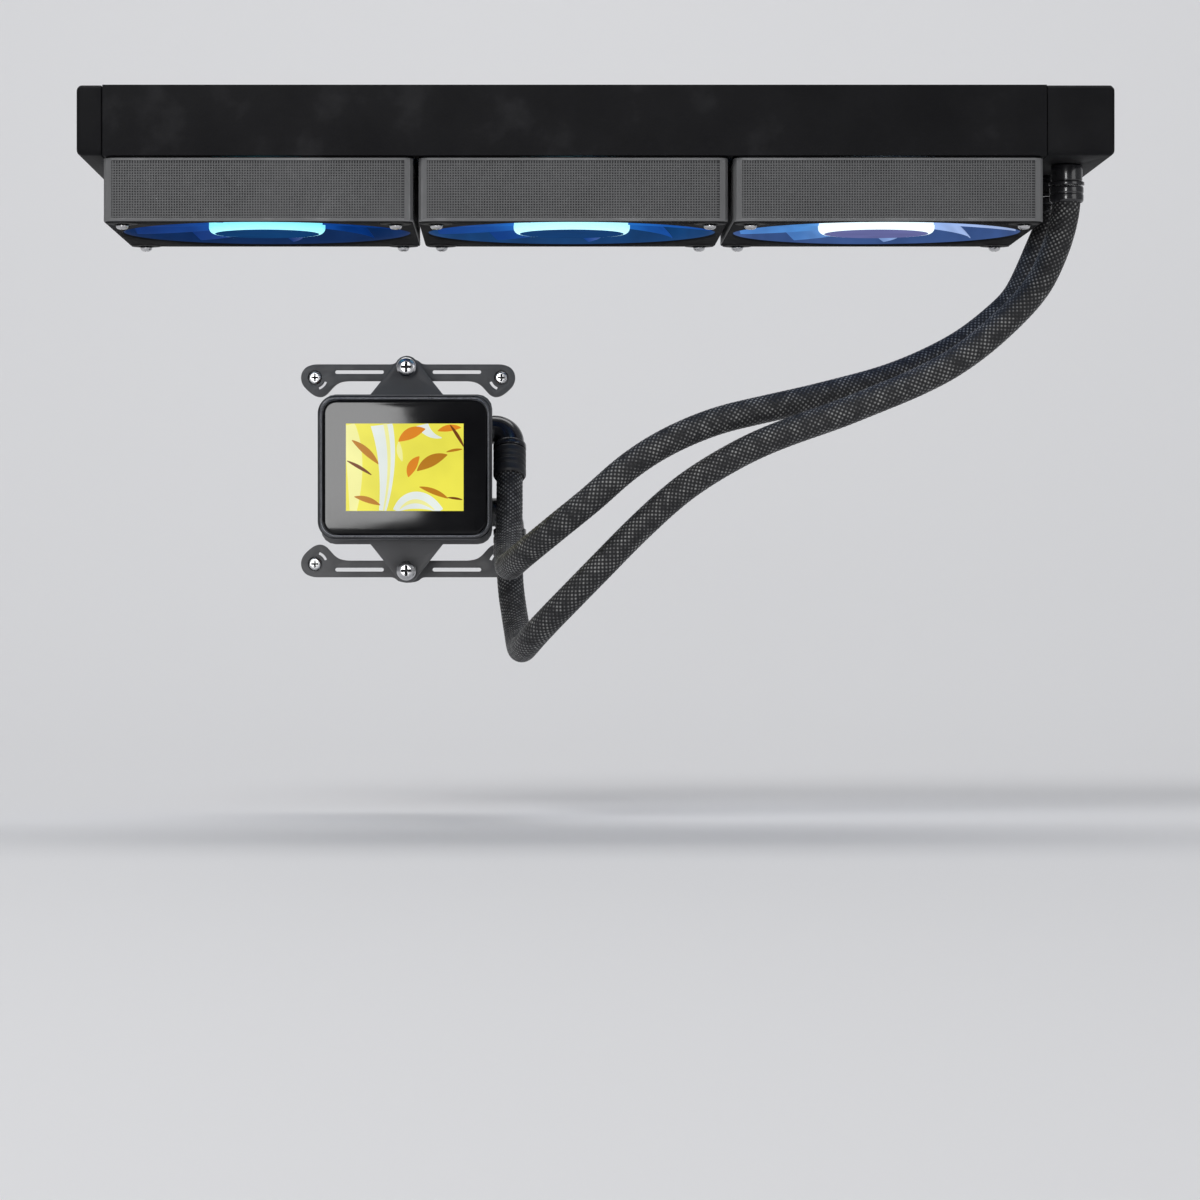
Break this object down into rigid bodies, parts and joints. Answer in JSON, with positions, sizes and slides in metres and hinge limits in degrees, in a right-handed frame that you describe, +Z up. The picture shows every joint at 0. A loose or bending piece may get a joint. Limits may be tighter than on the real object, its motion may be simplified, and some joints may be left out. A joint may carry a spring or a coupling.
{
  "type": "all-in-one liquid cooler",
  "caption": "Processor liquid cooler: slim radiator with lit fans below it, braided hoses and a square pump head with a display, on a socket bracket.",
  "frame": {"origin": "centre of the upper face of the radiator, which screws to the roof of a case", "axes": "+X along the radiator towards the tank with the hose fittings, +Y towards the motherboard, +Z up"},
  "size_m": [0.3998, 0.167, 0.2223],
  "materials": {
    "black_paint": "matte black powder coat",
    "fin_paint": "black coated aluminium",
    "bare_aluminium": "satin",
    "black_plastic": "satin black",
    "fan_grey_plastic": "fine textured dark grey",
    "lit_blade_plastic": "translucent, lit blue from the hub",
    "lit_ring": "glowing cyan",
    "steel": "bright",
    "windings": "enamelled copper windings",
    "copper": "machined copper",
    "bezel_metal": "satin dark grey",
    "lens_black": "polished black",
    "display_picture": "lit yellow, white and orange picture",
    "circuit_board": "green solder mask",
    "seal_rubber": "matte",
    "hose_braid": "black woven sleeve over rubber"
  },
  "bodies": {
    "cooler": {"radiator_tube_bundle": "bare_aluminium", "radiator_fin_pack": "fin_paint", "radiator_return_tank": "black_paint", "radiator_fitted_tank": "black_paint", "radiator_side_rail_front": "black_paint", "radiator_side_rail_rear": "black_paint", "radiator_fill_plug": "black_plastic", "radiator_fitting_front": "black_plastic", "radiator_fitting_rear": "black_plastic", "radiator_ferrule_front": "black_plastic", "radiator_ferrule_rear": "black_plastic", "fan_left_frame": "fan_grey_plastic", "fan_left_stator": "windings", "fan_left_light_ring": "lit_ring", "fan_middle_frame": "fan_grey_plastic", "fan_middle_stator": "windings", "fan_middle_light_ring": "lit_ring", "fan_right_frame": "fan_grey_plastic", "fan_right_stator": "windings", "fan_right_light_ring": "lit_ring", "pump_housing": "black_plastic", "pump_bezel": "bezel_metal", "pump_lens": "lens_black", "pump_display_panel": "display_picture", "pump_control_board": "circuit_board", "pump_stator": "windings", "pump_chamber_plate": "black_plastic", "pump_gasket": "seal_rubber", "pump_cable_grommet": "seal_rubber", "pump_cold_plate": "copper", "bracket_plate": "black_paint", "spring_upper": "steel", "socket_rail_upper": "black_paint", "rail_screw_upper_left": "steel", "rail_screw_upper_right": "steel", "hose_upper": "hose_braid", "spring_lower": "steel", "socket_rail_lower": "black_paint", "rail_screw_lower_left": "steel", "rail_screw_lower_right": "steel", "hose_lower": "hose_braid"},
    "fan_left_spinning": {"fan_left_rotor": "lit_blade_plastic", "fan_left_shaft": "steel", "fan_left_hub_cap": "black_plastic"},
    "fan_middle_spinning": {"fan_middle_rotor": "lit_blade_plastic", "fan_middle_shaft": "steel", "fan_middle_hub_cap": "black_plastic"},
    "fan_right_spinning": {"fan_right_rotor": "lit_blade_plastic", "fan_right_shaft": "steel", "fan_right_hub_cap": "black_plastic"},
    "pump_spinning": {"pump_impeller": "black_plastic", "pump_impeller_shaft": "steel"},
    "elbow_upper": {"pump_elbow_upper": "black_plastic", "pump_ferrule_upper": "black_plastic"},
    "screw_lift_upper": {"retaining_clip_upper": "steel"},
    "screw_upper": {"spring_screw_upper": "steel"},
    "elbow_lower": {"pump_elbow_lower": "black_plastic", "pump_ferrule_lower": "black_plastic"},
    "screw_lift_lower": {"retaining_clip_lower": "steel"},
    "screw_lower": {"spring_screw_lower": "steel"}
  },
  "joints": [
    {"name": "fan_left_spin", "type": "hinge", "parent": "cooler", "child": "fan_left_spinning", "pos_m": [-0.1206, 0, -0.04], "axis": [0, 0, 1], "continuous": true},
    {"name": "fan_middle_spin", "type": "hinge", "parent": "cooler", "child": "fan_middle_spinning", "pos_m": [0, 0, -0.04], "axis": [0, 0, 1], "continuous": true},
    {"name": "fan_right_spin", "type": "hinge", "parent": "cooler", "child": "fan_right_spinning", "pos_m": [0.1206, 0, -0.04], "axis": [0, 0, 1], "continuous": true},
    {"name": "pump_spin", "type": "hinge", "parent": "cooler", "child": "pump_spinning", "pos_m": [-0.0675, 0.087, -0.143], "axis": [0, 1, 0], "continuous": true},
    {"name": "elbow_upper_swivel", "type": "hinge", "parent": "cooler", "child": "elbow_upper", "pos_m": [-0.0249, 0.086, -0.1263], "axis": [1, 0, 0], "range_deg": [-15, 8], "deforming": ["hose_upper"]},
    {"name": "elbow_lower_swivel", "type": "hinge", "parent": "cooler", "child": "elbow_lower", "pos_m": [-0.0249, 0.086, -0.1606], "axis": [1, 0, 0], "range_deg": [-15, 15], "deforming": ["hose_lower"]},
    {"name": "screw_upper_rise", "type": "slide", "parent": "cooler", "child": "screw_lift_upper", "axis": [0, -1, 0], "range_m": [0, 0.0049], "deforming": ["spring_upper"]},
    {"name": "screw_upper_turn", "type": "hinge", "parent": "screw_lift_upper", "child": "screw_upper", "pos_m": [-0.0675, 0.08, -0.101], "axis": [0, -1, 0], "range_deg": [0, 2520]},
    {"name": "screw_lower_rise", "type": "slide", "parent": "cooler", "child": "screw_lift_lower", "axis": [0, -1, 0], "range_m": [0, 0.0049], "deforming": ["spring_lower"]},
    {"name": "screw_lower_turn", "type": "hinge", "parent": "screw_lift_lower", "child": "screw_lower", "pos_m": [-0.0675, 0.08, -0.185], "axis": [0, -1, 0], "range_deg": [0, 2520]}
  ],
  "couplings": [
    {"joint": "screw_upper_turn", "follows": "screw_upper_rise", "rad_per_m": 8976},
    {"joint": "screw_lower_turn", "follows": "screw_lower_rise", "rad_per_m": 8976}
  ]
}
